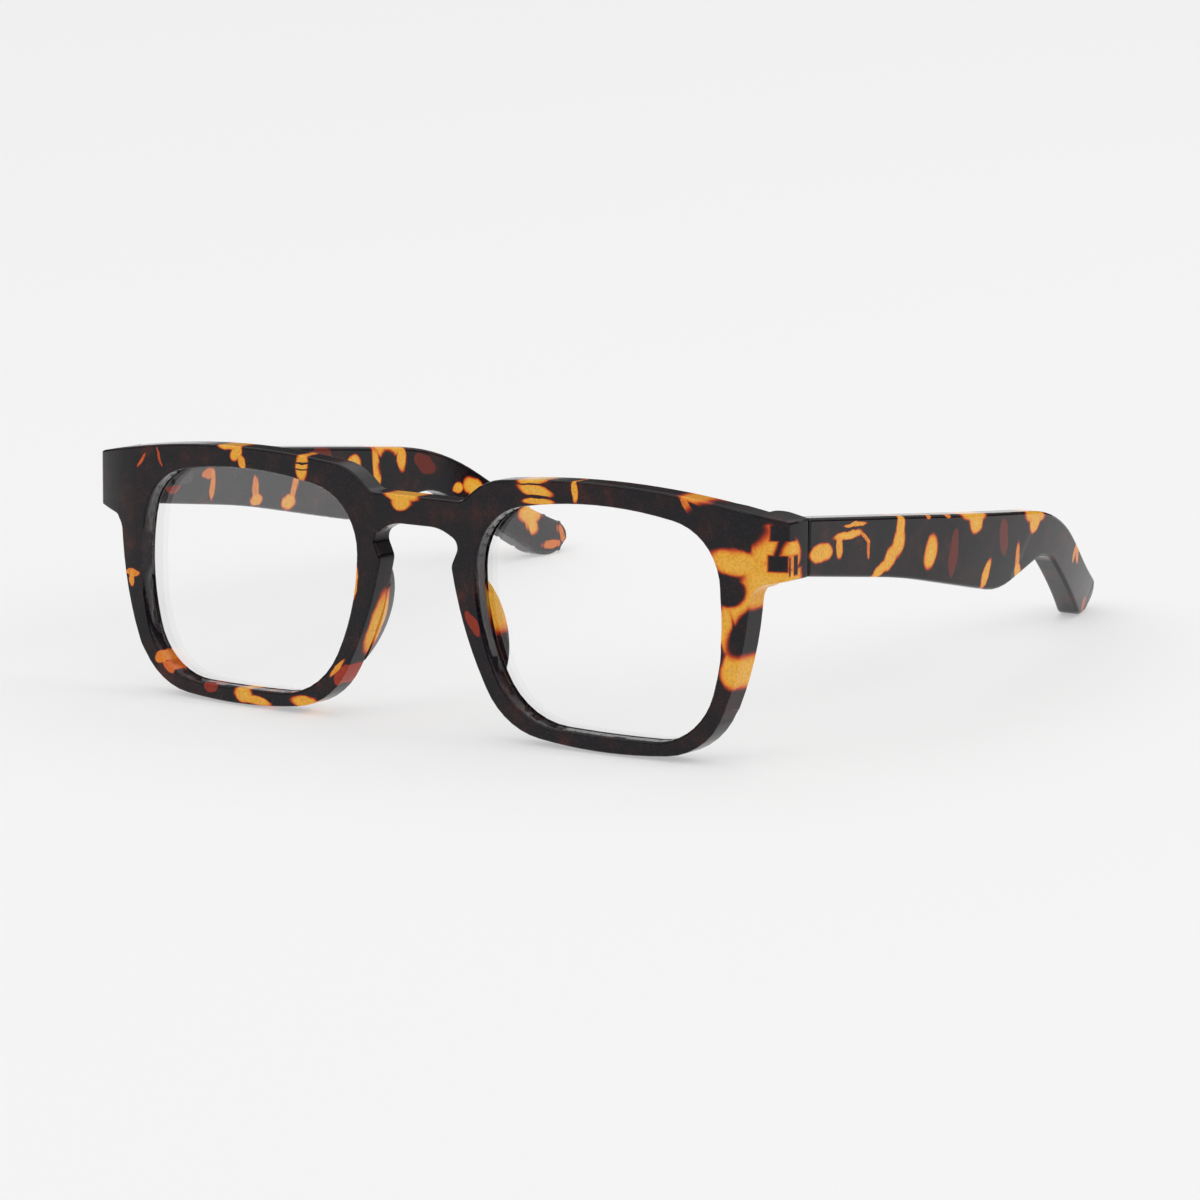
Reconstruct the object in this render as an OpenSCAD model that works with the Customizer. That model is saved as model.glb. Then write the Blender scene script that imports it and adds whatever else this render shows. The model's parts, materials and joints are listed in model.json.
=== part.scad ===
// Eyeglasses: one-piece acetate front with a keyhole bridge, two plano lenses,
// two bonded nose pads and two paddle temples on spring hinges.
// Everything is drawn upright in the front's own frame (x across, y towards the
// ears, z up, z = 0 at the lens centres) and then tipped by `rest_tilt`, so that
// the rim bottoms and the two ear tips all stand on z = 0.

/* [Front] */
// Width of each lens opening
lens_width = 49; // [41:0.5:58.5]
// Height of each lens opening
lens_height = 39; // [33:0.5:46]
// Gap between the two lens openings
bridge_width = 25.3; // [22:0.1:30]
// Thickness of the front, face to back
front_thickness = 4.6; // [4.4:0.1:5.2]
// Radius the whole front is curved to
base_radius = 960; // [700:10:1400]
// Rim above the opening
rim_top = 3.8; // [3.2:0.1:4.6]
// Rim below the opening
rim_bottom = 2.75; // [2.3:0.05:3.6]
// Rim beside the opening, ear side, at its widest
rim_side = 5.2; // [4.4:0.1:6]
// Rim beside the opening, nose side, at its widest
rim_nose = 6.4; // [5.4:0.1:6.6]

/* [Bridge] */
// Top of the bridge above the lens centre
bridge_top = 17.75; // [16.5:0.05:19]
// Bridge depth, top to underside, on the centre line
bridge_depth = 4.9; // [4:0.1:6]
// Widest half width of the keyhole
keyhole_half = 8.8; // [8.4:0.1:9.4]
// Height of the keyhole's rounded part
keyhole_height = 6.4; // [5.4:0.1:7.2]

/* [Lens] */
// Lens thickness
lens_thickness = 1.4; // [1.2:0.05:1.6]
// How far the lens edge sits inside the rim
lens_seat = 0.5; // [0.3:0.05:0.8]
// Play between the lens edge and its groove
lens_play = 0.05; // [0.02:0.01:0.1]
// Rim left behind the lens
lens_back_lip = 0.5; // [0.4:0.05:0.8]

/* [Nose pads] */
// How far each pad stands back from the rim
pad_height = 4.7; // [3.6:0.1:5.6]
// Length of the pad along the rim
pad_length = 19.5; // [16:0.5:21]
// Width of the pad where it meets the rim
pad_width = 3.4; // [2.8:0.1:3.6]
// Width of the pad's crest
pad_crest = 2; // [1.6:0.1:2.6]
// Slant of the pad, following the rim's nose side
pad_slant = 17; // [12:1:20]

/* [End piece] */
// From the opening to the outside of the end piece
end_reach = 11.35; // [10.9:0.05:12.5]
// Height of the end piece and of the temple at the joint
end_height = 9.8; // [9.6:0.1:11]
// How far behind the front's face the temple starts
joint_depth = 10.8; // [10.6:0.1:12]
// Radius of the sweep at the end of the front
end_sweep = 30; // [22:1:40]

/* [Temples] */
// From the joint to the end of the ear tip
temple_length = 117.5; // [98:0.5:140]
// Temple thickness
temple_thickness = 4.4; // [4.3:0.05:5]
// Fall of the temple's top edge, degrees
temple_fall = 5.85; // [4:0.05:8]
// Height of the temple at the paddle
paddle_height = 14; // [12:0.1:16]
// Fall of the hook behind the ear, degrees
hook_fall = 30.7; // [26:0.1:35]
// Radius the rear of the temple curves inwards to
wrap_radius = 200; // [180:5:320]

/* [Spring hinge] */
// Pin radius
pin_radius = 0.6; // [0.5:0.05:0.7]
// Running clearance round the pin
pin_clearance = 0.04; // [0.02:0.01:0.08]
// Height of each of the slider's two eyes
eye_height = 2.9; // [2.7:0.1:3]
// Height of the front's own eye, between them
middle_eye = 2.2; // [1.9:0.1:2.4]
// Radius of the slider's eyes
eye_radius = 1.75; // [1.5:0.05:1.85]
// Play above and below each eye
eye_play = 0.05; // [0.03:0.01:0.1]
// From the outside of the temple to the pin
pin_inset = 3.1; // [3:0.05:3.3]
// How far the pin sits in front of the joint
pin_set_forward = 2.4; // [2.3:0.05:2.6]
// How far the temple slides back at full flex
spring_travel = 0.7; // [0.6:0.05:0.8]
// Gap seen between the end piece and the temple
joint_gap = 0.12; // [0.08:0.02:0.2]
// Length of the spring's chamber
chamber_length = 9; // [8:0.5:10]
// Outside radius of the spring
spring_radius = 1.1; // [1:0.05:1.15]
// Wire radius of the spring
spring_wire = 0.2; // [0.15:0.01:0.22]
// Number of turns
spring_turns = 7; // [5:1:8]
// Thickness of the chamber's cover
cover_thickness = 0.7; // [0.6:0.05:0.8]
// Height of the cover
cover_height = 5.7; // [5.4:0.1:6]

/* [Hidden] */
$fn = 64;
fine = 720;
lens_x = bridge_width / 2 + lens_width / 2;
half_width = bridge_width / 2 + lens_width + end_reach;
opening_top = lens_height / 2;
brow_top = opening_top + rim_top;
rim_low = -lens_height / 2 - rim_bottom;
// fall of the top edge from the brow to the end pieces
brow_fall = 3.9;
end_top = brow_top - brow_fall;
end_low = end_top - end_height;
keyhole_top = bridge_top - bridge_depth;
lens_back = front_thickness - lens_back_lip;
lens_front = lens_back - lens_thickness;
sweep_from = half_width - 11;

// hinge, on the wearer's left; x, y of the pin
pin_x = half_width - pin_inset;
pin_y = joint_depth - pin_set_forward;
knuckle_radius = pin_set_forward - joint_gap;
back_edge = pin_x - knuckle_radius;
pocket = eye_height + 2 * eye_play;
hinge_stack = 2 * pocket + middle_eye;
hinge_low = end_low + (end_height - hinge_stack) / 2;
hinge_z = hinge_low + hinge_stack / 2;
wall_low = hinge_low - end_low;
bore_radius = pin_radius + pin_clearance;
head_radius = pin_radius + 0.5;
head_height = wall_low - 0.2;

// temple and its chamber
inner_face = half_width - temple_thickness;
arm_in = pin_x - 0.45;
arm_out = pin_x + eye_radius;
slot_play = 0.05;
block_length = 2;
block_start = joint_depth + 0.7;
slot_depth = 0.7 + block_length + spring_travel + 0.25;
web = 1;
chamber_start = joint_depth + slot_depth + web;
chamber_end = chamber_start + chamber_length;
shank_radius = 0.6;
chamber_play = 0.15;
chamber_half = spring_radius + chamber_play;
shank_x = inner_face + cover_thickness + chamber_half;
// the block reaches as far in as its shank needs
block_in = min(arm_in, shank_x - shank_radius);
stop_length = 1;
shank_end = chamber_end - 0.4;
stop_start = shank_end - stop_length;
spring_start = chamber_start + 0.02;
spring_end = stop_start - spring_travel - 0.05;
cover_start = joint_depth + 1.6;
cover_end = chamber_end + 1.3;
cover_corner = 0.9;
cover_play = 0.04;
cover_low = hinge_z - cover_height / 2;
cover_screw_y = cover_start + (cover_end - cover_start) * 0.58;
cover_screw_z = cover_low + (cover_height / 2 - chamber_half) / 2 + 0.02;
cover_screw_radius = 0.35;
cover_screw_play = 0.03;
cover_screw_length = 2.4;
cover_head_radius = 0.55;
cover_head_height = 0.34;

// temple side outline, y from the joint and z from the top of the joint,
// each with the share of its shorter side that its rounding takes
k = temple_length / 117.5;
fall = tan(temple_fall);
bend_y = 87 * k;
bend_z = -bend_y * fall;
tip_y = temple_length;
tip_z = bend_z - (tip_y - bend_y) * tan(hook_fall);
paddle_y = 64 * k;
paddle_z = -paddle_y * fall - paddle_height;
bow_z = -end_height - (paddle_height + paddle_y * fall - end_height) * 0.36;
temple_points = [
    [0, -end_height, 0],
    [30 * k, bow_z, 0.25],
    [paddle_y, paddle_z, 0.23],
    [83.5 * k, bend_z - 6.9, 0.25],
    [tip_y - 7, tip_z - 5.9, 0.45],
    [tip_y, tip_z, 0.42],
    [tip_y - 10.5, tip_z + 4.9, 0.5],
    [bend_y, bend_z, 0.45],
    [0, 0, 0]
];
tip_corner = 4;
rear_corner = 5;
function temple_fillet(i) = fillet(temple_points[i - 1], temple_points[i], temple_points[i + 1]);
wrap_start = joint_depth + 39.2 * k;
wrap_axis = 40;

// resting attitude: rim bottoms and ear tips on one plane
rim_y = front_thickness + lens_x * lens_x / (2 * base_radius);
tip_round = temple_fillet(tip_corner);
rear_round = temple_fillet(rear_corner);
tip_r = tip_round[1];
tip_cy = joint_depth + tip_round[0].x;
tip_cz = end_top + tip_round[0].y;
reach_d = norm([tip_cy - rim_y, tip_cz - rim_low]);
rest_tilt = atan2(tip_cz - rim_low, tip_cy - rim_y) - asin(tip_r / reach_d);
lift = rim_y * sin(rest_tilt) - rim_low * cos(rest_tilt);
front_y = (lens_x - 14) * (lens_x - 14) / (2 * base_radius) * cos(rest_tilt) + (rim_low + 1) * sin(rest_tilt);
rear_y = (joint_depth + rear_round[0].x) * cos(rest_tilt) + (end_top + rear_round[0].y) * sin(rest_tilt) + rear_round[1];
centre_y = (front_y + rear_y) / 2;

// ---- helpers ----------------------------------------------------------

function unit(v) = v / norm(v);
// centre, radius and two ends of the arc that rounds the corner b between a and c;
// each corner's third value is the share of its shorter side that the arc takes up
function fillet(a, b, c) =
    let(p0 = [a.x - b.x, a.y - b.y], p1 = [c.x - b.x, c.y - b.y], u = unit(p0), v = unit(p1),
        t = b[2] * min(norm(p0), norm(p1)), half = acos(u * v) / 2, r = t * tan(half))
    [[b.x, b.y] + unit(u + v) * r / sin(half), r, [b.x, b.y] + u * t, [b.x, b.y] + v * t];
function arc_at(a, b, c) =
    b[2] <= 0 ? [[b.x, b.y]] :
    let(f = fillet(a, b, c), m = f[0], r = f[1], p = f[2], q = f[3],
        a0 = atan2(p.y - m.y, p.x - m.x), a1 = atan2(q.y - m.y, q.x - m.x),
        d = ((a1 - a0 + 540) % 360) - 180, n = max(3, ceil(abs(d) / 9), ceil(abs(d) * r / 170)))
    [for (i = [0:n]) m + r * [cos(a0 + d * i / n), sin(a0 + d * i / n)]];
function rounded(p) = [for (i = [0:len(p) - 1])
    each arc_at(p[(i + len(p) - 1) % len(p)], p[i], p[(i + 1) % len(p)])];

// x, z outline pushed along y
module along_y(y0, y1) {
    translate([0, y1, 0]) rotate([90, 0, 0]) linear_extrude(height = y1 - y0) children();
}
// y, z outline pushed along x
module along_x(x0, x1) {
    translate([x0, 0, 0]) rotate([90, 0, 90]) linear_extrude(height = x1 - x0) children();
}
// base curve of the front, d behind its face, and its tighter sweep at the end pieces
steps = 44;
sweep_a = asin(sweep_from / base_radius);
sweep_cx = (base_radius - end_sweep) * sin(sweep_a);
sweep_cy = base_radius - (base_radius - end_sweep) * cos(sweep_a);
function base_y(x, d) = base_radius - sqrt((base_radius - d) * (base_radius - d) - x * x);
function face_y(x) = abs(x) <= sweep_from ? base_y(x, 0)
    : sweep_cy - sqrt(end_sweep * end_sweep - (abs(x) - sweep_cx) * (abs(x) - sweep_cx));
// curved layer, d0 to d1 behind the face
module layer(d0, d1) {
    w = back_edge;
    translate([0, 0, -40]) linear_extrude(height = 80) polygon(concat(
        [for (i = [0:steps]) let(x = -w + 2 * w * i / steps) [x, base_y(x, d0)]],
        [for (i = [steps:-1:0]) let(x = -w + 2 * w * i / steps) [x, base_y(x, d1)]]));
}
module placed() {
    translate([0, -centre_y, lift]) rotate([-rest_tilt, 0, 0]) children();
}
module placed_right() {
    placed() mirror([1, 0, 0]) children();
}

// ---- front --------------------------------------------------------------

// one opening: four bowed sides and four round corners
function opening_points(g = 0) = rounded([
    for (p = [[-0.5015, 0.4175, 0.5], [-0.4985, -0.067, 0.5], [-0.3335, -0.485, 0.48], [0.038, -0.5035, 0.49],
            [0.4165, -0.492, 0.49], [0.5225, -0.018, 0.55], [0.457, 0.4295, 0.43], [-0.004, 0.536, 0.65]])
        [lens_x + p.x * (lens_width + 2 * g), p.y * (lens_height + 2 * g), p[2]]]);
module opening(grow = 0) {
    polygon(opening_points(grow));
}
// half of the front's outline, from the underside of the bridge round to its top
function half_outline() = let(lo = bridge_width / 2, hi = lo + lens_width, kw = lens_width / 49) [
    [5, keyhole_top + 0.1, 0.4],
    [keyhole_half + 0.55, keyhole_top - 2.2, 0.42],
    [lo + 1.25 - rim_nose, keyhole_top - keyhole_height + 0.15, 0.15],
    [lo + 3.55 - rim_nose, -0.11 * lens_height, 0.84],
    [lo + 5.75 * kw, rim_low + 1.95, 0.41],
    [lens_x + 1.3, rim_low - 0.75, 0.6],
    [hi - 2.5 * kw, rim_low + 1.45, 0.46],
    [hi + rim_side - 1.1, -0.12 * lens_height, 0.68],
    [hi + rim_side + 0.1, end_low - 1.3, 0.37],
    [half_width, end_low, 0.1],
    [half_width, end_top, 0.05],
    [lens_x + 9.45 * kw, brow_top + 1.7, 0.96],
    [lo + 1.85, brow_top - 1.3, 0.55],
    [lo - 2.9, bridge_top + 0.2, 0.14]];
module front_outline() {
    h = half_outline();
    n = len(h);
    polygon(rounded(concat(h, [for (i = [n - 1:-1:0]) [-h[i].x, h[i].y, h[i][2]]])));
}
// plan of the front: curved strip, end pieces, and the knuckle round each pin
function end_plan() = [
    [half_width + 1, joint_depth - joint_gap],
    for (i = [0:12]) [pin_x + knuckle_radius * cos(90 + 90 * i / 12), pin_y + knuckle_radius * sin(90 + 90 * i / 12)]];
module front_plan() {
    e = end_plan();
    n = len(e);
    polygon(concat(
        [for (i = [0:8]) let(x = -half_width - 1 + (half_width + 1 - sweep_from) * i / 8) [x, face_y(x)]],
        [for (i = [1:steps - 1]) let(x = -sweep_from + 2 * sweep_from * i / steps) [x, face_y(x)]],
        [for (i = [0:8]) let(x = sweep_from + (half_width + 1 - sweep_from) * i / 8) [x, face_y(x)]],
        e,
        [for (i = [steps:-1:0]) let(x = -back_edge + 2 * back_edge * i / steps) [x, base_y(x, front_thickness)]],
        [for (i = [n - 1:-1:0]) [-e[i].x, e[i].y]]));
}
// room the slider's eyes and arms turn in
module eye_pocket_plan() {
    r = eye_radius + 0.12;
    translate([pin_x, pin_y]) {
        circle(r = r);
        polygon([[-8, -0.6], [0, -0.6], [r, 0], [r + 0.5, pin_set_forward + 1], [-8, pin_set_forward + 1]]);
    }
}
module hinge_pockets() {
    for (z = [hinge_low, hinge_low + pocket + middle_eye])
        translate([0, 0, z]) linear_extrude(height = pocket) eye_pocket_plan();
    // screw: clear hole through the eye and the roof, head let into the floor
    translate([pin_x, pin_y, hinge_low]) cylinder(h = hinge_stack, r = bore_radius);
    translate([pin_x, pin_y, end_low - 3]) cylinder(h = 3 + wall_low + 0.01, r = head_radius + 0.1);
}
module front_frame() color([0.28, 0.14, 0.06]) placed() difference() {
    intersection() {
        along_y(-2, joint_depth + 2) front_outline();
        translate([0, 0, -40]) linear_extrude(height = 80) front_plan();
    }
    for (s = [0, 1]) mirror([s, 0, 0]) {
        along_y(-3, 20) opening();
        intersection() {
            along_y(-3, 20) opening(lens_seat + lens_play);
            layer(lens_front - lens_play, lens_back + lens_play);
        }
        hinge_pockets();
    }
}
module lens() {
    intersection() {
        along_y(-3, 20) opening(lens_seat);
        layer(lens_front, lens_back);
    }
}
module lens_left() color([0.8, 0.88, 0.9, 0.35]) placed() lens();
module lens_right() color([0.8, 0.88, 0.9, 0.35]) placed_right() lens();

// ---- nose pads ------------------------------------------------------------

// ring section whose outer edge is the pad's crest, cut off by the rim's back
module pad() {
    base = front_thickness;
    ring = (pad_length * pad_length / 4 + pad_height * pad_height) / (2 * pad_height);
    mid_z = -3.6;
    mid_x = bridge_width / 2 - rim_nose / 2 + 2.35;
    intersection() {
        translate([mid_x, base + pad_height - ring, mid_z]) rotate([0, -pad_slant, 0]) rotate([0, 90, 0])
            rotate_extrude($fn = 160) polygon(rounded([
                [ring - pad_height - 1.5, -pad_width / 2, 0], [ring - pad_height, -pad_width / 2, 0],
                [ring, 0.75 - pad_crest / 2, 0.42], [ring, 0.75 + pad_crest / 2, 0.42],
                [ring - pad_height, pad_width / 2, 0], [ring - pad_height - 1.5, pad_width / 2, 0]]));
        layer(front_thickness, front_thickness + 20);
    }
}
module nose_pad_left() color([0.3, 0.17, 0.09]) placed() pad();
module nose_pad_right() color([0.3, 0.17, 0.09]) placed_right() pad();

// ---- hinge -----------------------------------------------------------------

module hinge_screw() {
    translate([pin_x, pin_y, 0]) difference() {
        union() {
            translate([0, 0, hinge_low - head_height + 0.01]) cylinder(h = head_height - 0.01 - eye_play, r = head_radius);
            translate([0, 0, hinge_low - 0.3]) cylinder(h = hinge_stack + 0.3 - eye_play, r = pin_radius);
        }
        translate([-2, -0.16, hinge_low - head_height - 1]) cube([4, 0.32, 1.3]);
    }
}
module hinge_screw_left() color([0.6, 0.6, 0.62]) placed() hinge_screw();
module hinge_screw_right() color([0.6, 0.6, 0.62]) placed_right() hinge_screw();

module hinge_slider() {
    arm = block_start + block_length - pin_y;
    difference() {
        union() {
            for (z = [hinge_low + eye_play, hinge_low + pocket + middle_eye + eye_play]) {
                translate([pin_x, pin_y, z]) cylinder(h = eye_height, r = eye_radius);
                translate([arm_in, pin_y, z]) cube([arm_out - arm_in, arm, eye_height]);
            }
            translate([block_in, block_start, hinge_low + eye_play])
                cube([arm_out - block_in, block_length, hinge_stack - 2 * eye_play]);
            translate([shank_x, block_start + block_length, hinge_z]) rotate([-90, 0, 0])
                cylinder(h = shank_end - block_start - block_length, r = shank_radius);
        }
        translate([pin_x, pin_y, hinge_low - 1]) cylinder(h = hinge_stack + 2, r = bore_radius);
    }
}
module hinge_slider_left() color([0.16, 0.16, 0.17]) placed() hinge_slider();
module hinge_slider_right() color([0.16, 0.16, 0.17]) placed_right() hinge_slider();

// round wire wound along y
module flex_spring() {
    r = spring_radius - spring_wire;
    sides = 8;
    per = 20;
    n = spring_turns * per;
    span = spring_end - spring_start - 2 * spring_wire;
    pts = [for (i = [0:n]) for (j = [0:sides - 1])
        let(a = 360 * i / per, b = 360 * j / sides, d = r + spring_wire * cos(b))
        [shank_x + d * cos(a), spring_start + spring_wire + span * i / n + spring_wire * sin(b), hinge_z + d * sin(a)]];
    polyhedron(points = pts, faces = concat(
        [[for (j = [0:sides - 1]) j]],
        [for (i = [0:n - 1]) for (j = [0:sides - 1]) let(m = (j + 1) % sides)
            [i * sides + j, (i + 1) * sides + j, (i + 1) * sides + m, i * sides + m]],
        [[for (j = [sides - 1:-1:0]) n * sides + j]]));
}
module flex_spring_left() color([0.7, 0.7, 0.72]) placed() flex_spring();
module flex_spring_right() color([0.7, 0.7, 0.72]) placed_right() flex_spring();

module spring_stop() {
    translate([shank_x, stop_start, hinge_z]) rotate([-90, 0, 0]) difference() {
        cylinder(h = stop_length, r = spring_radius);
        translate([0, 0, -1]) cylinder(h = stop_length + 2, r = shank_radius);
    }
}
module spring_stop_left() color([0.5, 0.5, 0.52]) placed() spring_stop();
module spring_stop_right() color([0.5, 0.5, 0.52]) placed_right() spring_stop();

// ---- temples ----------------------------------------------------------------

module temple_side() {
    translate([joint_depth, end_top]) polygon(rounded(temple_points));
}
// thickness of the temple, straight and then wrapped inwards
module temple_plan() {
    translate([inner_face, -80]) square([temple_thickness, 80.01]);
    translate([half_width - temple_thickness / 2 - wrap_radius, 0]) intersection() {
        difference() {
            circle(r = wrap_radius + temple_thickness / 2, $fn = fine);
            circle(r = wrap_radius - temple_thickness / 2, $fn = fine);
        }
        square(wrap_radius * 2);
    }
}
module temple_blank() {
    intersection() {
        along_x(0, half_width + 10) temple_side();
        translate([0, wrap_start, end_top - 12]) rotate([-wrap_axis, 0, 0])
            translate([0, 0, -120]) linear_extrude(height = 240) temple_plan();
    }
}
module cover_outline(shrink = 0) {
    translate([(cover_start + cover_end) / 2, hinge_z]) offset(r = cover_corner - shrink) offset(delta = -cover_corner)
        square([cover_end - cover_start, cover_height], center = true);
}
module temple() {
    difference() {
        temple_blank();
        // slot for the slider's block
        translate([block_in - slot_play, joint_depth - 1, hinge_low + eye_play - slot_play])
            cube([arm_out - block_in + 2 * slot_play, slot_depth + 1, hinge_stack - 2 * eye_play + 2 * slot_play]);
        // guide hole for the shank
        translate([shank_x, joint_depth + slot_depth - 0.5, hinge_z]) rotate([-90, 0, 0])
            cylinder(h = web + 1, r = shank_radius + pin_clearance);
        // spring chamber, open to the inside
        translate([inner_face - 1, chamber_start, hinge_z - chamber_half])
            cube([shank_x + chamber_half - inner_face + 1, chamber_length, 2 * chamber_half]);
        // recess for the cover and hole for its screw
        along_x(inner_face - 1, inner_face + cover_thickness) cover_outline();
        translate([inner_face, cover_screw_y, cover_screw_z]) rotate([0, 90, 0])
            cylinder(h = cover_screw_length + 0.2, r = cover_screw_radius);
    }
}
module temple_left() color([0.24, 0.12, 0.06]) placed() temple();
module temple_right() color([0.24, 0.12, 0.06]) placed_right() temple();

module spring_cover() {
    difference() {
        along_x(inner_face, inner_face + cover_thickness) cover_outline(cover_play);
        translate([inner_face - 1, cover_screw_y, cover_screw_z]) rotate([0, 90, 0])
            cylinder(h = cover_thickness + 2, r = cover_screw_radius + cover_screw_play);
        translate([inner_face - 0.01, cover_screw_y, cover_screw_z]) rotate([0, 90, 0])
            cylinder(h = cover_head_height + 0.02, r = cover_head_radius + 0.05);
    }
}
module spring_cover_left() color([0.3, 0.3, 0.31]) placed() spring_cover();
module spring_cover_right() color([0.3, 0.3, 0.31]) placed_right() spring_cover();

module cover_screw() {
    translate([inner_face, cover_screw_y, cover_screw_z]) rotate([0, 90, 0]) difference() {
        union() {
            translate([0, 0, 0.02]) cylinder(h = cover_head_height - 0.02, r = cover_head_radius);
            translate([0, 0, 0.2]) cylinder(h = cover_screw_length - 0.2, r = cover_screw_radius);
        }
        translate([-1, -0.08, -0.5]) cube([2, 0.16, 0.64]);
    }
}
module cover_screw_left() color([0.12, 0.12, 0.13]) placed() cover_screw();
module cover_screw_right() color([0.12, 0.12, 0.13]) placed_right() cover_screw();

front_frame();
lens_left();
lens_right();
nose_pad_left();
nose_pad_right();
hinge_screw_left();
hinge_screw_right();
hinge_slider_left();
hinge_slider_right();
temple_left();
temple_right();
flex_spring_left();
flex_spring_right();
spring_stop_left();
spring_stop_right();
spring_cover_left();
spring_cover_right();
cover_screw_left();
cover_screw_right();
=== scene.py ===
# %% [markdown]
# # Tortoiseshell eyeglasses
# The glasses are an acetate front with a keyhole bridge, two lenses, two nose pads and two
# temples that swing on small steel hinges. The measured model is loaded first and stays as it
# is: it says where everything goes, and every distance below is taken from it.

# %% Load the measured model
import bmesh
import bpy
import json
from math import cos, degrees, pi, radians, sin
from mathutils import Matrix, Vector


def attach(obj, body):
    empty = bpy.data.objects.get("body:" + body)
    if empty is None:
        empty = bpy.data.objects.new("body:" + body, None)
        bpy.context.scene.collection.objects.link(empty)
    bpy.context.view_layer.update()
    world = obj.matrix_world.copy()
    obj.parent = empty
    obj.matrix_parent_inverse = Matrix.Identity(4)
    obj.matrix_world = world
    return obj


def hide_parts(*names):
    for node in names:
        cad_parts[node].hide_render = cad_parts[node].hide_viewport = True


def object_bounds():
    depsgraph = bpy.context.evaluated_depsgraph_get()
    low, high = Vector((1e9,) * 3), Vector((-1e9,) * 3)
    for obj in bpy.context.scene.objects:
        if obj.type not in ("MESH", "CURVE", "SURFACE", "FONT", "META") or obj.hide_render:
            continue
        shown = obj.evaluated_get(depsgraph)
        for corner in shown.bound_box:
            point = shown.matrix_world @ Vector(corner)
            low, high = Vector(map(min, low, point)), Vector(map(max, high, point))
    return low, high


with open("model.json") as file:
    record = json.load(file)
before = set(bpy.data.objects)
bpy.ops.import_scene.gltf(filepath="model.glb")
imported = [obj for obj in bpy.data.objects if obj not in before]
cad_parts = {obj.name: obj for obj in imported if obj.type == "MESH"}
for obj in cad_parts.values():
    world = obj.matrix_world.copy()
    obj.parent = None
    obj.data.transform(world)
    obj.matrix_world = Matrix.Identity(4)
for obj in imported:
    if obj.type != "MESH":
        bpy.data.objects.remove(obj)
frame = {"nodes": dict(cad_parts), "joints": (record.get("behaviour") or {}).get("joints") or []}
measured_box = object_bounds()
MM = 0.001
print("pieces in the measured model:", len(frame["nodes"]))

# %% [markdown]
# ## Upright and resting
# On a table the glasses stand on their rims and ear tips, so the whole front leans a few
# degrees. Patterns and edges are easier to describe with the front upright: x across, y from
# the face backwards, z up, with the lenses' centres at z = 0. The lean can be read from the
# axis of the left hinge, and the shift from the place of its pin.

# %% The lean, and the step from upright to resting
PIN_UPRIGHT = Vector((69.9, 8.4, 14.5)) * MM
hinge = next(j for j in frame["joints"] if j["name"] == "fold_left")
lean = Vector((0, 0, 1)).angle(Vector(hinge["axis"]))
turn = Matrix.Rotation(-lean, 4, "X")
to_rest = Matrix.Translation(Vector(hinge["pos_m"]) - turn @ PIN_UPRIGHT) @ turn
to_upright = to_rest.inverted()
print("the front leans by", round(degrees(lean), 2), "degrees")

# %% [markdown]
# ## Camera
# A long lens from the wearer's left and a little above keeps the two rims nearly the same
# size, as a catalogue picture does. The camera is placed by angles round a point between the
# rims, with the front upright, and then leans with it.

# %% Place the camera
AIM = Vector((26.5, 17.4, 0.4)) * MM
AROUND, ABOVE, ROLL = radians(34.75), radians(9.19), radians(0.35)
DISTANCE = 0.9864       # metres
FIELD = radians(11.87)  # across the picture
back = Vector((sin(AROUND) * cos(ABOVE), -cos(AROUND) * cos(ABOVE), sin(ABOVE)))
level = Vector((cos(AROUND), sin(AROUND), 0))
rise = back.cross(level)
right = level * cos(ROLL) + rise * sin(ROLL)
up = rise * cos(ROLL) - level * sin(ROLL)
camera_data = bpy.data.cameras.new("camera")
camera = bpy.data.objects.new("camera", camera_data)
axes = Matrix((right, up, back)).transposed().to_4x4()
camera.matrix_world = to_rest @ Matrix.Translation(AIM + back * DISTANCE) @ axes
camera_data.lens_unit = "FOV"
camera_data.angle = FIELD
camera_data.clip_start, camera_data.clip_end = 0.05, 60
bpy.context.scene.collection.objects.link(camera)
bpy.context.scene.camera = camera
print("camera", [round(v, 3) for v in camera.location])

# %% [markdown]
# ## Node helpers
# Every material below is a small graph. One function adds a node, sets its values and links
# its inputs; another turns a hex colour, as a paint chart gives it, into the linear numbers
# that light is worked out with.

# %% Colours and nodes
def colour(code):
    """The linear red, green, blue and alpha of a hex colour."""
    parts = [int(code[i:i + 2], 16) / 255 for i in (1, 3, 5)]
    return [c / 12.92 if c <= 0.04045 else ((c + 0.055) / 1.055) ** 2.4 for c in parts] + [1]


def add(tree, kind, settings=None, **inputs):
    """Adds a node. An input is named as on the node, or i and its number where names repeat;
    a socket is linked to it and any other value is set on it."""
    node = tree.nodes.new("ShaderNode" + kind)
    for key, value in (settings or {}).items():
        setattr(node, key, value)
    for key, value in inputs.items():
        numbered = key[0] == "i" and key[1:].isdigit()
        socket = node.inputs[int(key[1:]) if numbered else key.replace("_", " ")]
        if isinstance(value, bpy.types.NodeSocket):
            tree.links.new(value, socket)
        else:
            socket.default_value = value
    return node


def new_material(name, **surface):
    """A material with one Principled surface and these values on it."""
    material = bpy.data.materials.new(name)
    material.use_nodes = True
    tree = material.node_tree
    shader = next(n for n in tree.nodes if n.type == "BSDF_PRINCIPLED")
    for key, value in surface.items():
        shader.inputs[key.replace("_", " ")].default_value = value
    return material, tree, shader


def ramp(tree, factor, stops):
    """A colour ramp from (place, hex colour) pairs."""
    node = add(tree, "ValToRGB", i0=factor)
    bar = node.color_ramp
    while len(bar.elements) < len(stops):
        bar.elements.new(0.5)
    for element, (place, code) in zip(bar.elements, stops):
        element.position = place
        element.color = colour(code)
    return node.outputs["Color"]


print("white is", colour("#ffffff"))

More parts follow.
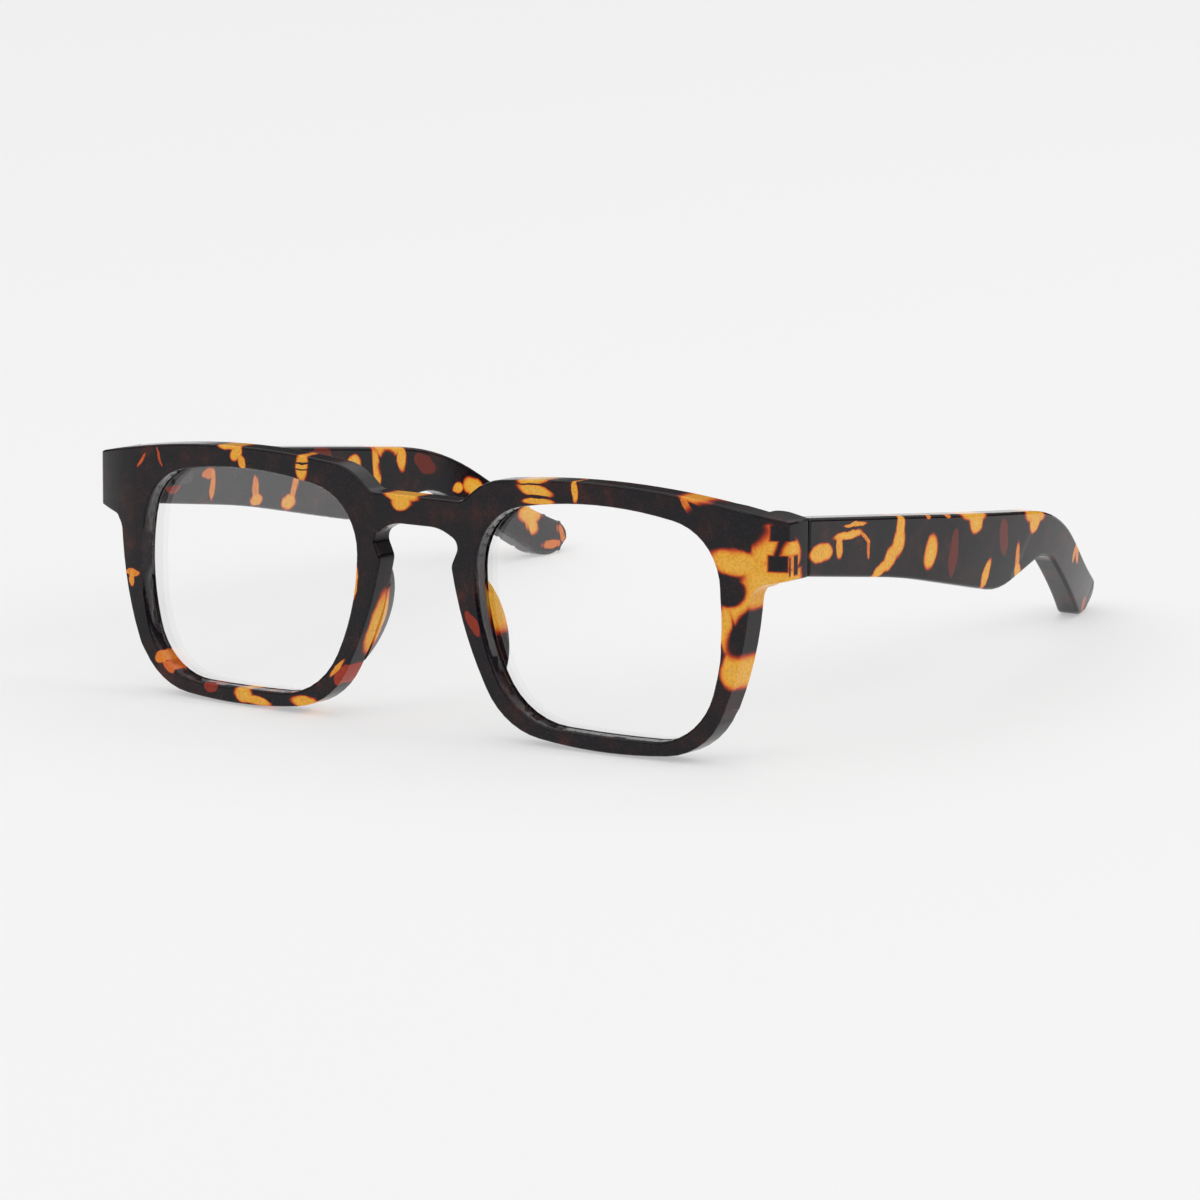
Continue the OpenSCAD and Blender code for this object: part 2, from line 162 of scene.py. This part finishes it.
# %% [markdown]
# ## Floor and light
# A pale sheet that is lit from below as well keeps the shadows faint, makes the amber glow
# and leaves the polished black almost black. The light above is a bright dome that fades
# towards the horizon: grazing edges then mirror something dark, as they do in a studio with
# black flags around a light table.

# %% Floor
FLOOR_SIZE = 24         # metres, so that its edge is never in view
FLOOR_GAP = 0.02 * MM   # keeps the floor just under the rims and the ear tips
FLOOR_GLOW = 0.42
lowest = measured_box[0][2]
bpy.ops.mesh.primitive_plane_add(size=FLOOR_SIZE, location=(0, 0, lowest - FLOOR_GAP))
floor = bpy.context.object
floor.name = "floor"
paper, tree, shader = new_material("pale_paper", Roughness=0.9, Specular_IOR_Level=0.1)
shader.inputs["Base Color"].default_value = colour("#bdbdbd")
shader.inputs["Emission Color"].default_value = colour("#ffffff")
shader.inputs["Emission Strength"].default_value = FLOOR_GLOW
floor.data.materials.append(paper)

# %% Light dome
world = bpy.data.worlds.new("light_dome")
bpy.context.scene.world = world
world.use_nodes = True
tree = world.node_tree
sky = next(n for n in tree.nodes if n.type == "BACKGROUND")
way = add(tree, "TexCoord").outputs["Generated"]
height = add(tree, "SeparateXYZ", i0=way).outputs["Z"]
DOME = [(0.0, "#303030"), (0.22, "#505050"), (0.5, "#f4f4f4"), (1.0, "#ffffff")]
dome = ramp(tree, height, DOME)
tree.links.new(dome, sky.inputs["Color"])
sky.inputs["Strength"].default_value = 1.0

# %% Soft boxes
BOX_SIZE = 0.9                      # metres
BOX_AIM = Vector((0, 0, 0.02))      # halfway up the glasses


def soft_box(name, place, watts):
    """A square area light that looks at the glasses."""
    light = bpy.data.lights.new(name, "AREA")
    light.shape, light.size, light.energy = "SQUARE", BOX_SIZE, watts
    lamp = bpy.data.objects.new(name, light)
    lamp.location = place
    lamp.rotation_euler = (BOX_AIM - Vector(place)).to_track_quat("-Z", "Y").to_euler()
    bpy.context.scene.collection.objects.link(lamp)


soft_box("box_right", (1.3, 0.5, 0.9), 4)
soft_box("box_front", (-0.5, -1.4, 1.2), 3)
bpy.context.scene.view_settings.view_transform = "Standard"

# %% [markdown]
# ## Tortoiseshell acetate
# Tortoiseshell acetate is pressed from clear amber and dark brown chips, cut into sheets and
# polished. An amber window has a yellow heart, turns orange and then red where the dark
# material thins over it, and ends in near-black brown that still shows red-brown clouds and a
# fine grain. The chips go right through the sheet, so a window is an ellipse on the broad
# face that runs through the thickness, unless it is given a depth. A list says where each
# window is on its piece, in upright millimetres; noise ruffles the outlines, and the nearest
# window decides the colour.

# %% The distance to the nearest window
GRAIN = 0.45        # mm, the fine grain, drawn a little coarser than it is
CLOUD = 6.0         # mm, one red-brown cloud
RUFFLE = 3.2        # mm, one wave of a window's outline
SWAY = 0.6          # mm, how far a wave moves the outline
DEEP = 1000.0       # mm, half depth of a window that goes right through


def upright_mm(tree):
    """Object coordinates, set upright and in millimetres."""
    place = add(tree, "TexCoord").outputs["Object"]
    node = add(tree, "Mapping", {"vector_type": "POINT"}, Vector=place)
    node.inputs["Location"].default_value = to_upright.translation / MM
    node.inputs["Rotation"].default_value = (lean, 0, 0)
    node.inputs["Scale"].default_value = (1 / MM,) * 3
    return node.outputs["Vector"]


def ruffled(tree, place):
    """The same place, pushed about by noise."""
    wave = add(tree, "TexNoise", Vector=place, Scale=1 / RUFFLE, Detail=2.0, Roughness=0.45)
    push = add(tree, "VectorMath", {"operation": "SUBTRACT"}, i0=wave.outputs["Color"])
    push.inputs[1].default_value = (0.5, 0.5, 0.5)
    far = add(tree, "VectorMath", {"operation": "SCALE"}, i0=push.outputs[0], Scale=2 * SWAY)
    return add(tree, "VectorMath", {"operation": "ADD"}, i0=place, i1=far.outputs[0]).outputs[0]


def window_distance(tree, place, spot, broad):
    """0 in the middle of a window, 1 at its edge and more outside, but nowhere under fade. Up
    to 0.72 is yellow, 0.85 is orange and 0.98 dark red, so fade says how deep a colour starts.
    spot is (u, v, half u, half v, turn, fade), and may go on with (depth, half depth); u and v
    lie in the broad plane, XZ or YZ, and turn is in degrees."""
    u, v, half_u, half_v, turn_by, fade = spot[:6]
    depth, half_depth = spot[6:] or (0, DEEP)
    node = add(tree, "Mapping", {"vector_type": "TEXTURE"}, Vector=place)
    if broad == "XZ":
        node.inputs["Location"].default_value = (u, depth, v)
        node.inputs["Rotation"].default_value = (0, -radians(turn_by), 0)
        node.inputs["Scale"].default_value = (half_u, half_depth, half_v)
    else:
        node.inputs["Location"].default_value = (depth, u, v)
        node.inputs["Rotation"].default_value = (radians(turn_by), 0, 0)
        node.inputs["Scale"].default_value = (half_depth, half_u, half_v)
    span = add(tree, "VectorMath", {"operation": "LENGTH"}, i0=node.outputs["Vector"])
    length = span.outputs["Value"]
    if fade:
        length = add(tree, "Math", {"operation": "MAXIMUM"}, i0=length, i1=fade).outputs[0]
    return length


def block_distance(tree, place, low, high):
    """Under 1 inside a box with square sides, such as the steel hinge, painted as shade where it would
    show through the amber.
    """
    middle = [(a + b) / 2 for a, b in zip(low, high)]
    half = [(b - a) / 2 for a, b in zip(low, high)]
    node = add(tree, "Mapping", {"vector_type": "TEXTURE"}, Vector=place)
    node.inputs["Location"].default_value = middle
    node.inputs["Scale"].default_value = half
    sides = add(tree, "VectorMath", {"operation": "ABSOLUTE"}, i0=node.outputs["Vector"]).outputs[0]
    part = add(tree, "SeparateXYZ", i0=sides).outputs
    pair = add(tree, "Math", {"operation": "MAXIMUM"}, i0=part[0], i1=part[1]).outputs[0]
    return add(tree, "Math", {"operation": "MAXIMUM"}, i0=pair, i1=part[2]).outputs[0]


# %% The acetate itself
EDGE = 2.05         # a dark chip and a window of equal distance meet at this sum
BLEND = 0.35        # how far neighbouring windows flow into each other
BUMP = 0.02 * MM    # the depth of the grain on the polished surface

# The places on the amber ramps are half a window's distance, because a ramp ends at 1.
AMBER = [(0.0, "#fbc452"), (0.36, "#fab43a"), (0.425, "#f0902a"), (0.46, "#da5a1e"),
         (0.49, "#a8341a"), (0.52, "#5e1e14"), (0.56, "#2c100e")]
AMBER_ENDS = [(0.51, "#000000"), (0.58, "#ffffff")]
AMBER_GRAIN = [(0.35, "#d9c7ab"), (0.6, "#ffffff")]
DARK_CLOUDS = [(0.0, "#0a0a12"), (0.46, "#0e0b12"), (0.58, "#241214"), (0.74, "#4a1f18")]
DARK_GRAIN = [(0.54, "#000000"), (0.74, "#2a2018")]


def colour_mix(tree, blend, amount, first, second):
    """Two colours mixed in one of the ways a painter's layers are."""
    settings = {"data_type": "RGBA", "blend_type": blend}
    return add(tree, "Mix", settings, i0=amount, i6=first, i7=second).outputs[2]


def tortoiseshell(name, broad, windows, chips_and_shade=(), painted_blocks=()):
    """Polished acetate. windows are amber and shadows are dark chips lying over them, but the deep one
    at the back of the front's end piece is painted shade. blocks are square boxes of painted shade,
    where the hinge and its pockets would show dark through the amber."""
    polished = {"Roughness": 0.12, "IOR": 1.48, "Specular_IOR_Level": 0.28}
    material, tree, shader = new_material(name, **polished)
    place = upright_mm(tree)
    loose = ruffled(tree, place)
    field = window_distance(tree, loose, windows[0], broad)
    for spot in windows[1:]:
        one = window_distance(tree, loose, spot, broad)
        nearer = add(tree, "Math", {"operation": "SMOOTH_MIN"}, i0=field, i1=one, i2=BLEND)
        field = nearer.outputs[0]
    covers = [window_distance(tree, loose, spot, broad) for spot in chips_and_shade]
    covers += [block_distance(tree, place, *corners) for corners in painted_blocks]
    for one in covers:
        cover = add(tree, "Math", {"operation": "SUBTRACT"}, i0=EDGE, i1=one).outputs[0]
        field = add(tree, "Math", {"operation": "MAXIMUM"}, i0=field, i1=cover).outputs[0]
    half = add(tree, "Math", {"operation": "MULTIPLY"}, i0=field, i1=0.5).outputs[0]
    grain = add(tree, "TexNoise", Vector=place, Scale=1 / GRAIN, Detail=2.0).outputs["Fac"]
    cloud = add(tree, "TexNoise", Vector=place, Scale=1 / CLOUD, Detail=5.0, Roughness=0.7)
    dark = ramp(tree, cloud.outputs["Fac"], DARK_CLOUDS)
    dark = colour_mix(tree, "ADD", 0.7, dark, ramp(tree, grain, DARK_GRAIN))
    glow = ramp(tree, half, AMBER)
    glow = colour_mix(tree, "MULTIPLY", 0.5, glow, ramp(tree, grain, AMBER_GRAIN))
    mixed = colour_mix(tree, "MIX", ramp(tree, half, AMBER_ENDS), glow, dark)
    tree.links.new(mixed, shader.inputs["Base Color"])
    bump = add(tree, "Bump", Height=grain, Strength=0.05, Distance=BUMP)
    tree.links.new(bump.outputs["Normal"], shader.inputs["Normal"])
    print(name, "has", len(windows), "windows and", len(tree.nodes), "nodes")
    return material


# %% [markdown]
# ## Polished edges
# Acetate parts are cut from sheet and then tumbled for days, which rounds every outside edge
# by a few tenths of a millimetre. The measured pieces have sharp edges, so each one is copied,
# its loose triangles are merged, flat neighbours are joined, and only its outside edges are
# bevelled. Screw holes and lens grooves aren't reached by tumbling and stay sharp.

# %% Copy a measured piece and round its edges
SHORTEST = 0.14         # mm, an edge shorter than this would fold over in the bevel
WELD = 0.002 * MM       # points closer than this are one point
LEVEL = radians(0.05)   # faces that differ less than this are one face
SHALLOW = radians(2)    # strips of a curved face meet at less than this
CORNER = radians(35)    # an edge the tumbling can round turns at least this far
CREASE = radians(38)    # an edge that is shaded sharp turns at least this far
ARC = 4                 # steps in a rounded edge


def reached_edges(mesh, reached):
    """The corner edges that a test(edge, middle in millimetres) says yes to."""
    mesh.normal_update()
    sharp = [e for e in mesh.edges if len(e.link_faces) == 2 and e.calc_face_angle() > CORNER]
    return [e for e in sharp if reached(e, (e.verts[0].co + e.verts[1].co) / 2 / MM)]


def tumbled(node, name, *rounds, strip=0):
    """A copy of a measured node with edges rounded. A round is a radius in millimetres and a
    test(edge, middle) that says whether it reaches an edge. Strips of a curved face that are
    shorter than strip are joined first, because a bevel wider than a strip folds over."""
    mesh = bmesh.new()
    mesh.from_mesh(frame["nodes"][node].data)
    mesh.transform(to_upright)
    bmesh.ops.remove_doubles(mesh, verts=mesh.verts, dist=WELD)
    bmesh.ops.dissolve_degenerate(mesh, edges=mesh.edges, dist=WELD)
    bmesh.ops.dissolve_limit(mesh, angle_limit=LEVEL, verts=mesh.verts, edges=mesh.edges)
    joins = [e for e in mesh.edges if e.calc_face_angle(pi) < SHALLOW and e.calc_length() < strip * MM]
    bmesh.ops.dissolve_edges(mesh, edges=joins, use_verts=True)
    count = 0
    for radius, reached in rounds:
        chosen = reached_edges(mesh, reached)
        short = [e for e in chosen if e.calc_length() < SHORTEST * MM]
        bmesh.ops.collapse(mesh, edges=short)
        chosen = reached_edges(mesh, reached)
        bmesh.ops.bevel(
            mesh, geom=chosen, offset=radius * MM, offset_type="OFFSET", segments=ARC,
            profile=0.5, affect="EDGES", clamp_overlap=False, material=-1, loop_slide=True)
        bmesh.ops.dissolve_degenerate(mesh, edges=mesh.edges, dist=WELD)
        count += len(chosen)
    mesh.transform(to_rest)
    data = bpy.data.meshes.new(name)
    mesh.to_mesh(data)
    mesh.free()
    piece = bpy.data.objects.new(name, data)
    bpy.context.scene.collection.objects.link(piece)
    data.shade_smooth()
    data.set_sharp_from_angle(angle=CREASE)
    flat = piece.modifiers.new("flat faces", "WEIGHTED_NORMAL")
    flat.keep_sharp = True
    flat.weight = 100       # the largest face decides
    print(name, "has", count, "rounded edges and", len(data.polygons), "faces")
    return piece


def stand_for(piece, node, body, finish):
    """The finished piece takes a measured node's place on a body."""
    piece.data.materials.clear()
    piece.data.materials.append(finish)
    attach(piece, body)
    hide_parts(node)


# %% [markdown]
# ## The front
# The front is one piece of sheet: outline and openings are cut straight through, so an
# outside edge is where a wall meets the face or the back. Where the ends sweep back, only the
# level walls on top and below are rounded, and inside the end pieces the pockets for the hinge
# eyes are left as they are.

# %% Front
CURVE = 960             # mm, the radius the front is curved to
SWEEP_FROM = 62         # mm from the middle, where the ends sweep back
SWEEP = 30              # mm, the radius of the sweep
THICK = 4.6             # mm
HALF_WIDTH = 73         # mm
END_LOW = 9.6           # mm, the bottom of the end pieces
END_TOP = 19.4          # mm, their top
FRONT_END = 10.68       # mm behind the face, where the end pieces stop
ON_PLANE = 0.03         # mm, how exactly an edge lies on a flat end
ON_CURVE = 0.2          # mm, how exactly an edge in short steps lies on a curved face
AT_SIDE = 0.1           # mm, the same for the flat sides of the end pieces
FRONT_ROUND = 0.4       # mm


def face_depth(place):
    """How far a place lies behind the front's curved face, in mm."""
    beyond = min(max(abs(place.x) - SWEEP_FROM, 0), SWEEP)
    curve = CURVE - (CURVE ** 2 - place.x ** 2) ** 0.5
    sweep = SWEEP - (SWEEP ** 2 - beyond ** 2) ** 0.5
    return place.y - curve - sweep


def at_joint(middle, plane):
    """On the outline of the flat ends that meet at the hinge."""
    above_or_below = min(abs(middle.z - END_LOW), abs(middle.z - END_TOP)) < 0.05
    outline = abs(middle.x) > HALF_WIDTH - AT_SIDE or above_or_below
    return abs(middle.y - plane) < ON_PLANE and outline


def front_edge(edge, middle):
    """Tumbling reaches an outside edge of the front."""
    a, b = (f.normal for f in edge.link_faces)
    across, steep = abs(middle.x), max(abs(a.z), abs(b.z))
    depth = face_depth(middle)
    wall = min(abs(a.y), abs(b.y)) < 0.2
    level = steep > 0.8 or across < SWEEP_FROM - 0.5
    on_face = abs(depth) < ON_CURVE and across < HALF_WIDTH - 0.2 and level
    on_back = abs(depth - THICK) < ON_CURVE and across < SWEEP_FROM
    on_side = across > HALF_WIDTH - AT_SIDE and steep > 0.9
    return wall and (on_face or on_back or on_side) or at_joint(middle, FRONT_END)


front = tumbled("front_frame", "front", (FRONT_ROUND, front_edge))

# %% Front windows
FRONT_WINDOWS = [
    # u, v, half u, half v, turn, fade, and for some of them depth and half depth
    # left end piece: the broad amber field
    (64.4, 12.2, 5.4, 2.3, -6, 0), (69.0, 15.4, 2.0, 3.6, -16, 0.3), (69.4, 9.0, 4.2, 3.8, 0, 0),
    (66.0, 4.6, 3.4, 3.8, 40, 0), (62.4, 1.0, 1.1, 4.2, 0, 0.2), (73.0, 9.4, 2.4, 2.0, 0, 0.2),
    (73.4, 13.9, 2.4, 2.7, 0, 0.1, 6.0, 2.6),
    # left brow
    (58.4, 22.5, 5.8, 1.3, -4, 0.78), (54.8, 20.9, 0.7, 1.8, 35, 0.88), (24.2, 22.9, 3.2, 0.9, 4, 0.2),
    (24.9, 21.2, 3.8, 1.0, -8, 0.2), (25.6, 19.3, 3.4, 0.7, 0, 0.6), (32.8, 21.6, 0.7, 2.1, 0, 0.72),
    # left rim
    (63.9, -5.9, 2.4, 3.4, -6, 0.1), (63.1, -14.0, 0.7, 1.4, 0, 0.93), (12.2, -2.8, 0.9, 2.4, 36, 1.0),
    # bridge
    (-3.1, 17.8, 4.0, 1.0, -3, 0.6), (-3.0, 16.6, 2.3, 1.2, 0, 0.6),
    # right brow
    (-41.4, 23.5, 2.6, 0.9, 3, 0.55), (-39.4, 22.1, 1.2, 1.7, -40, 0.66),
    (-38.0, 20.6, 0.8, 1.3, 10, 0.75), (-24.6, 20.9, 1.4, 2.6, 2, 0.62),
    (-61.6, 18.8, 0.35, 1.6, -35, 0.92), (-57.4, 19.8, 0.3, 1.8, 25, 0.95),
    # right rim
    (-64.2, -1.4, 1.8, 0.6, 0, 0.85), (-64.4, -2.6, 0.7, 1.5, 0, 0.8),
    (-57.2, -15.9, 1.5, 1.2, 20, 0.86), (-55.4, -17.6, 1.4, 0.8, -40, 0.9),
    (-38.0, -20.4, 2.1, 1.7, 0, 0.25), (-35.0, -21.3, 3.6, 0.8, -6, 0.6),
    (-24.3, -20.2, 2.9, 1.2, 5, 0.7), (-13.0, 1.6, 0.7, 3.0, -8, 0.66),
    (-16.9, -13.4, 0.45, 2.4, -42, 0.78), (-31.4, -18.7, 5.2, 0.5, 0, 0.82),
    (-45.6, -19.9, 1.6, 1.1, 0, 1.0), (-15.6, -14.6, 1.4, 2.2, -42, 0.98),
    # nose sides of the rims, behind the face
    (-11.4, -5.0, 1.9, 6.6, -17, 0.3, 3.9, 2.6), (11.6, 1.5, 1.4, 5.0, 16, 0.3, 4.6, 2.2),
]
FRONT_CHIPS_AND_SHADE = [
    (61.6, 18.2, 7.2, 3.6, -2, 0), (62.9, 7.4, 2.9, 2.4, 0, 0), (67.0, 1.0, 5.2, 2.7, 46, 0),
    (25.2, 20.2, 2.6, 0.3, 0, 0), (24.2, 22.15, 3.6, 0.12, 2, 0),
    (-24.6, 21.6, 1.8, 0.15, 0, 0.1), (-24.6, 20.6, 1.8, 0.12, 0, 0.1),
    # The last one is no chip: it darkens the back of the left end piece, where the hinge and its pockets
    # lie behind the amber, as painted shade.
    (74.0, 14.5, 5.0, 9.0, 0, 0, 12.0, 3.4),
]
# Painted shade: the hinge and its pockets, dark in their shade, painted as boxes between two corners where
# they would show through the amber.
PAINTED_HINGE_SHADE = [
    ((70.1, -5, 16.3), (74.5, 6.6, 18.8)), ((69.8, -5, 11.2), (72.7, 8.0, 13.7)),
    ((72.7, 4.9, 10.6), (74.5, 5.3, 13.4)), ((72.7, 6.3, 10.6), (74.5, 7.4, 13.6)),
]
front_acetate = tortoiseshell(
    "tortoiseshell_acetate_front", "XZ", FRONT_WINDOWS, FRONT_CHIPS_AND_SHADE, PAINTED_HINGE_SHADE)
stand_for(front, "front_frame", "front", front_acetate)

# %% [markdown]
# ## The temples
# Each temple is cut from the same sheet and bent inwards. Its outside edges run along the top
# and the bottom of both broad faces and are rounded all the way to the ear tip; the chamber
# for the spring keeps its edges.

# %% Temples
TEMPLE_START = 10.8     # mm behind the face
CHAMBER_END = 28        # mm behind the face, past the end of the spring's chamber
TEMPLE_ROUND = 0.7      # mm
TEMPLE_STRIP = 2.5      # mm, strips narrower than this are joined before rounding


def temple_edge(edge, middle):
    """Tumbling reaches an outside edge of a temple."""
    a, b = (f.normal for f in edge.link_faces)
    broad = max(abs(a.x), abs(b.x)) > 0.7
    wall = min(abs(a.x), abs(b.x)) < 0.35
    inside = abs(middle.x) < HALF_WIDTH - AT_SIDE and END_LOW + 0.3 < middle.z < END_TOP - 0.4
    in_chamber = middle.y < CHAMBER_END and inside
    return broad and wall and not in_chamber or at_joint(middle, TEMPLE_START)


LEFT_WINDOWS = [
    (13.2, 13.1, 2.1, 1.5, 0, 0.5), (14.6, 13.1, 2.4, 1.6, 0, 0.5),
    (16.0, 13.1, 2.2, 1.5, 0, 0.5), (20.2, 13.4, 1.0, 2.1, 0, 0.75),
    (22.8, 15.1, 4.7, 0.8, 0, 0.4), (25.0, 16.6, 3.8, 0.4, -4, 0.75), (28.3, 14.1, 1.7, 0.45, -35, 0.85),
    (29.2, 12.1, 0.45, 1.8, 0, 0.88), (39.4, 14.6, 1.3, 2.6, -5, 0.62), (38.8, 11.9, 2.0, 2.6, -15, 0.5),
    (36.4, 9.7, 3.0, 1.7, 38, 0.5), (33.0, 8.0, 2.8, 1.2, 28, 0.55), (49.3, 9.0, 2.2, 3.1, -24, 0.15),
    (64.0, 14.0, 5.0, 1.5, -6, 0.5), (64.5, 12.4, 2.4, 1.9, 0, 0.2), (69.0, 2.8, 1.2, 3.0, -33, 0.7),
    (81.2, 3.8, 0.9, 3.3, 0, 0.84), (81.8, 1.4, 1.4, 1.5, 0, 0.7), (87.2, 10.9, 4.4, 1.5, -6, 0.7),
    (87.2, 9.4, 2.2, 1.9, 0, 0.6), (108.6, 1.3, 0.7, 2.0, -15, 0.84), (110.3, 0.6, 0.7, 2.2, 25, 0.84),
    (48.6, 15.4, 0.8, 0.6, 0, 0.85), (55.0, 14.8, 0.8, 0.6, 0, 0.85), (120.5, -10.2, 1.0, 1.4, 0, 0.95),
    (57.0, 8.0, 1.4, 4.0, -10, 1.03), (75.0, 8.6, 1.6, 3.4, 12, 1.03),
]
RIGHT_WINDOWS = [
    (49.2, 16.2, 4.0, 1.3, -5, 0.1), (72.2, 9.9, 2.3, 1.8, 0, 0.2), (82.4, 12.0, 4.2, 1.9, 0, 0.15),
    (78.6, 8.6, 1.0, 4.0, 8, 0.6), (85.9, 9.8, 1.3, 2.8, -4, 0.6), (104.5, 2.2, 3.1, 1.8, -25, 0.3),
    (100.2, 2.6, 1.6, 1.0, 0, 0.6), (30.4, 12.9, 2.0, 1.1, 0, 0.88), (31.4, 10.6, 0.8, 3.0, -6, 0.85),
    (44.2, 6.4, 2.0, 1.2, 0, 0.78), (43.9, 8.4, 0.8, 2.8, 0, 0.86), (53.7, 4.9, 2.2, 1.6, 0, 0.62),
    (55.6, 7.6, 0.9, 3.5, -22, 0.84), (57.6, 10.8, 1.4, 1.8, -10, 0.74), (117.8, -4.0, 2.9, 1.9, 0, 0.3),
    (117.9, -5.8, 1.6, 2.4, 0, 0.35), (121.5, -10.2, 2.2, 0.9, 0, 0.88), (124.6, -8.4, 0.8, 1.8, 10, 0.88),
    (20.0, 12.0, 2.2, 1.6, 0, 1.0), (63.0, 12.0, 3.0, 2.0, -10, 1.03), (92.0, 8.0, 3.0, 1.6, -30, 1.03),
]
RIGHT_SHADOWS = [(81.9, 8.6, 2.5, 2.6, 0, 0)]
left_acetate = tortoiseshell("tortoiseshell_acetate_left_temple", "YZ", LEFT_WINDOWS)
right_acetate = tortoiseshell("tortoiseshell_acetate_right_temple", "YZ", RIGHT_WINDOWS, RIGHT_SHADOWS)
for side, finish in (("left", left_acetate), ("right", right_acetate)):
    node = "temple_" + side
    temple = tumbled(node, "arm_" + side, (TEMPLE_ROUND, temple_edge), strip=TEMPLE_STRIP)
    stand_for(temple, node, node, finish)

# %% [markdown]
# ## Nose pads
# The pads are cut from the same sheet and bonded to the rims, so their windows don't continue
# those of the front. Their crests are already round in the measured model.

# %% Pads
PAD_WINDOWS = {
    "left": [(11.6, 0.2, 3.4, 5.8, 16, 0.15)],
    "right": [(-11.4, -4.0, 2.0, 6.0, -17, 0.3, 4.6, 1.8)],
}
for side, windows in PAD_WINDOWS.items():
    pad = tumbled("nose_pad_" + side, "pad_" + side)
    finish = tortoiseshell("tortoiseshell_acetate_pad_" + side, "XZ", windows)
    stand_for(pad, "nose_pad_" + side, "front", finish)

# %% [markdown]
# ## Lenses
# Lenses of this kind are cut from clear polycarbonate, which mirrors a little more than glass
# does. They stay as measured and only get their material. Lamp light goes straight through,
# so that they don't throw the dark shadow a renderer gives to solid glass.

# %% Polycarbonate
lens_clear, tree, shader = new_material(
    "clear_polycarbonate", Roughness=0.0, IOR=1.59, Transmission_Weight=1.0)
shader.inputs["Base Color"].default_value = colour("#ffffff")
clear = add(tree, "BsdfTransparent")
from_lamp = add(tree, "LightPath").outputs["Is Shadow Ray"]
either = add(tree, "MixShader", i0=from_lamp, i1=shader.outputs[0], i2=clear.outputs[0])
sheet = next(n for n in tree.nodes if n.type == "OUTPUT_MATERIAL")
tree.links.new(either.outputs[0], sheet.inputs["Surface"])
for side in ("left", "right"):
    node = frame["nodes"]["lens_" + side]
    node.data.materials.clear()
    node.data.materials.append(lens_clear)

# %% [markdown]
# ## Metal parts
# The hinge screws are bright steel, turned and polished. The sliders, the chamber covers and
# their screws are steel with a thin dark plating, the stops are bare steel and the springs are
# drawn wire.

# %% Steel
SMOOTHER, ROUGHER = 0.8, 1.3    # how far tool marks change the roughness
MARK_DEPTH = 0.01 * MM


def turned_steel(name, tint, rough, pitch):
    """Steel with fine tool marks, pitch millimetres apart."""
    material, tree, shader = new_material(name, Metallic=1.0)
    shader.inputs["Base Color"].default_value = colour(tint)
    place = upright_mm(tree)
    marks = add(tree, "TexNoise", Vector=place, Scale=1 / pitch, Detail=2.0).outputs["Fac"]
    level = add(tree, "MapRange", i0=marks)
    level.inputs["To Min"].default_value = rough * SMOOTHER
    level.inputs["To Max"].default_value = rough * ROUGHER
    tree.links.new(level.outputs[0], shader.inputs["Roughness"])
    bump = add(tree, "Bump", Height=marks, Strength=0.1, Distance=MARK_DEPTH)
    tree.links.new(bump.outputs["Normal"], shader.inputs["Normal"])
    return material


# part: name of the finish, colour, roughness, and the pitch of its marks in mm
METALS = {
    "hinge_screw": turned_steel("polished_steel", "#c9c9cc", 0.22, 0.3),
    "hinge_slider": turned_steel("dark_plated_steel", "#3a3a40", 0.38, 0.4),
    "flex_spring": turned_steel("spring_wire", "#b4b4b6", 0.3, 0.2),
    "spring_stop": turned_steel("plain_steel", "#a8a8aa", 0.34, 0.3),
    "spring_cover": turned_steel("dark_plated_cover", "#4a4748", 0.3, 0.5),
    "cover_screw": turned_steel("blackened_steel", "#2a2a2c", 0.35, 0.2),
}
for part, finish in METALS.items():
    for side in ("left", "right"):
        node = frame["nodes"][part + "_" + side]
        node.data.materials.clear()
        node.data.materials.append(finish)
print("metal finishes:", len(METALS))
